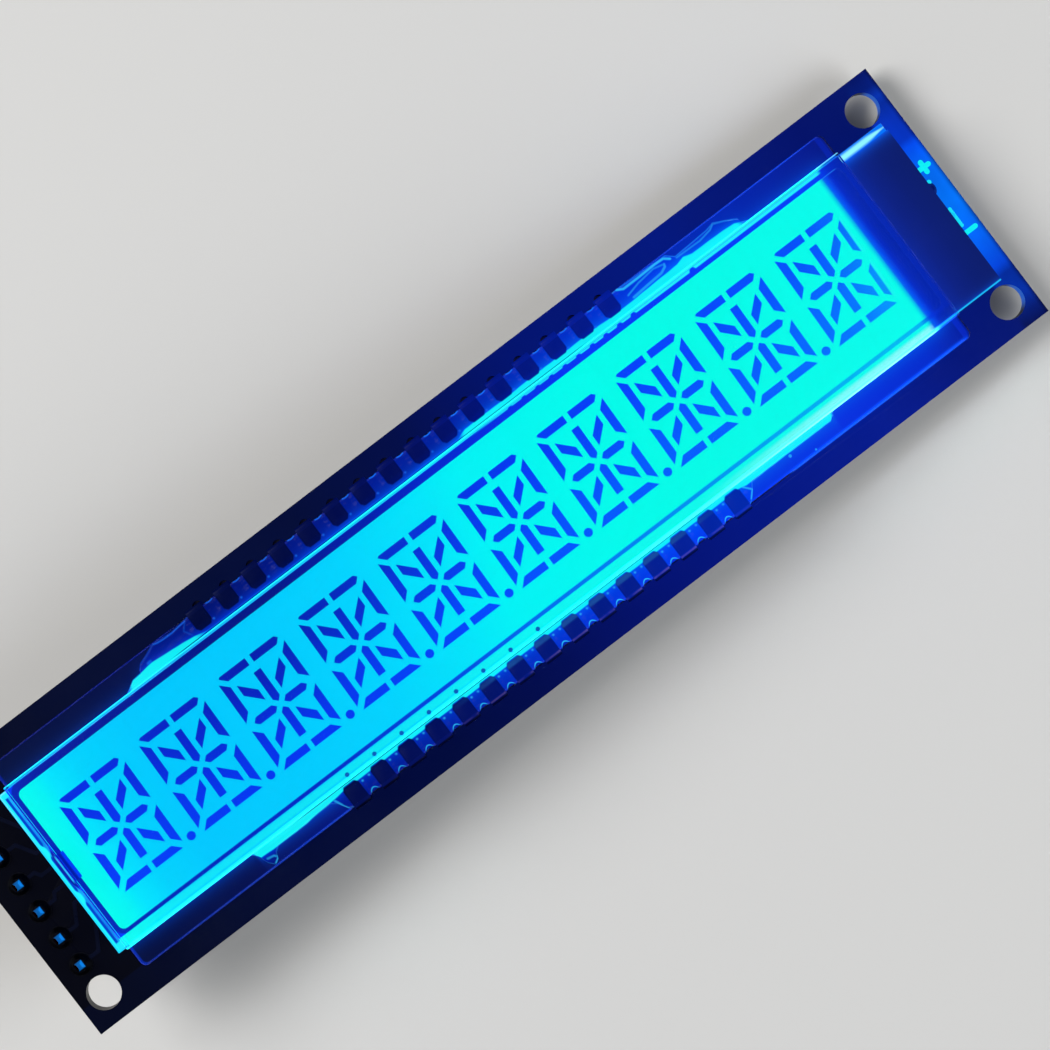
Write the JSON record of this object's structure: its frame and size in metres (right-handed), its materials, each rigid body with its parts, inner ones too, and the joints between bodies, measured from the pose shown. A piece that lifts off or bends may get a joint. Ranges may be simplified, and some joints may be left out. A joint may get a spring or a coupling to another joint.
{
  "type": "sixteen segment display module",
  "caption": "Backlit alphanumeric liquid crystal display: a row of characters on glass, clipped along both edges to a board that has a pin header and a driver chip behind.",
  "frame": {"origin": "centre of the mounting-hole pattern on the back face of the circuit board", "axes": "+X along the board toward the lamp end, +Y toward the top of the characters, +Z the way the display faces"},
  "size_m": [0.0902, 0.023, 0.0161],
  "materials": {
    "board": "glass fibre laminate with a glossy blue solder mask",
    "white_film": "white reflector film",
    "light_guide": "clear acrylic lit from its end",
    "diffuser": "frosted film, lit from below",
    "lamp_board": "narrow strip of circuit board",
    "lamp": "white lamp body with a lit window",
    "tinned_wire": "tinned metal",
    "solder": "satin solder",
    "dark_tape": "dark opaque tape",
    "polarizer": "clear polarizer film",
    "cell_glass": "polished thin glass",
    "seal": "dark epoxy frame",
    "conductive_dot": "cured conductive paste",
    "dark_segment": "dark area of the liquid crystal",
    "plug_resin": "cured resin bead",
    "contact_metal": "tinned bronze, bent from sheet",
    "clear_resin": "clear cured resin",
    "header_plastic": "black moulded plastic",
    "pin_metal": "thin gold plating",
    "chip_plastic": "black moulding compound",
    "resistor_body": "black glazed top",
    "capacitor_body": "tan ceramic"
  },
  "bodies": {
    "root": {"circuit_board": "board", "rear_reflector": "white_film", "light_guide": "light_guide", "diffuser_film": "diffuser", "lamp_strip": "lamp_board", "lamps": "lamp", "lamp_leads": "tinned_wire", "lamp_lead_solder": "solder", "lamp_bay_tape": "dark_tape", "rear_polarizer": "polarizer", "rear_glass": "cell_glass", "cell_seal": "seal", "crossover_dots": "conductive_dot", "character_segments": "dark_segment", "decimal_points": "dark_segment", "front_glass": "cell_glass", "front_polarizer": "polarizer", "fill_port_plug": "plug_resin", "upper_contacts": "contact_metal", "lower_contacts": "contact_metal", "upper_resin": "clear_resin", "lower_resin": "clear_resin", "upper_contact_solder": "solder", "lower_contact_solder": "solder", "header_body": "header_plastic", "header_pins_metal": "pin_metal", "header_solder": "solder", "chip_body": "chip_plastic", "chip_leads": "tinned_wire", "resistors": "resistor_body", "capacitors": "capacitor_body", "component_ends": "tinned_wire", "transistor_body": "chip_plastic", "transistor_leads": "tinned_wire"}
  },
  "joints": []
}
